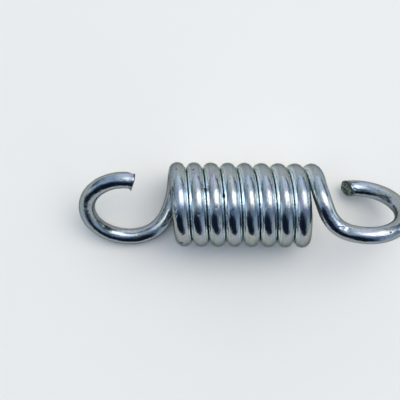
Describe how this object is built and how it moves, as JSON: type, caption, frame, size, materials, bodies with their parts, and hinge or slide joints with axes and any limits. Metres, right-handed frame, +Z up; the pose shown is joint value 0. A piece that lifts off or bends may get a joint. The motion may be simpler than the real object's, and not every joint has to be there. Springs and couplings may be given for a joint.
{
  "type": "extension spring",
  "caption": "Close-wound extension spring of round zinc-plated steel wire with an open crossover hook at each end, for pulling a door, latch or lever back.",
  "frame": {"origin": "under the middle of the coil, on the surface that the spring lies on", "axes": "+X along the coil's axis, +Z up from the surface, +Y square to both"},
  "size_m": [0.0798, 0.0205, 0.0218],
  "materials": {
    "zinc_plated_wire": "bright zinc plate on drawn spring wire, bluish"
  },
  "bodies": {
    "root": {"extension_spring": "zinc_plated_wire"}
  },
  "joints": []
}
